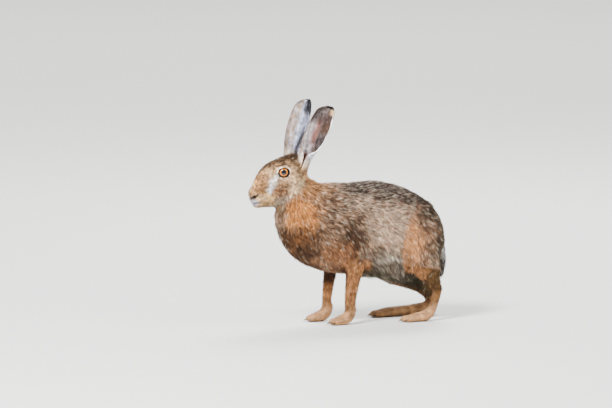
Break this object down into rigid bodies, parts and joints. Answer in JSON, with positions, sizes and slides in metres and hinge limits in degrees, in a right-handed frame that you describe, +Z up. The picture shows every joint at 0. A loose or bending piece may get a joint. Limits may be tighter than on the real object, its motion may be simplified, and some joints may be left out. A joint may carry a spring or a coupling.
{
  "type": "brown hare model",
  "caption": "Life-size brown hare standing alert on all four feet, head raised and ears up, made as a still display model.",
  "frame": {"origin": "centre of the bounding box, on the floor under the feet", "axes": "+Z up; the hare looks along -X and its left side faces -Y"},
  "size_m": [0.3858, 0.139, 0.4047],
  "materials": {
    "coat": "short ticked fur, buff-brown, grey and black",
    "leg_coat": "short flat fur, orange tan",
    "ear_coat": "thin skin with very short fur, black tipped",
    "tail_coat": "soft fur, black above and white below",
    "eye": "glossy, amber with a dark pupil",
    "claw": "smooth dark horn"
  },
  "bodies": {
    "root": {"head": "coat", "neck": "coat", "torso": "coat", "thigh_left": "coat", "thigh_right": "coat", "shank_left": "leg_coat", "shank_right": "leg_coat", "hind_foot_left": "leg_coat", "hind_foot_right": "leg_coat", "foreleg_left": "leg_coat", "foreleg_right": "leg_coat", "forefoot_left": "leg_coat", "forefoot_right": "leg_coat", "ear_left": "ear_coat", "ear_right": "ear_coat", "tail": "tail_coat", "eye_left": "eye", "eye_right": "eye"}
  },
  "joints": []
}
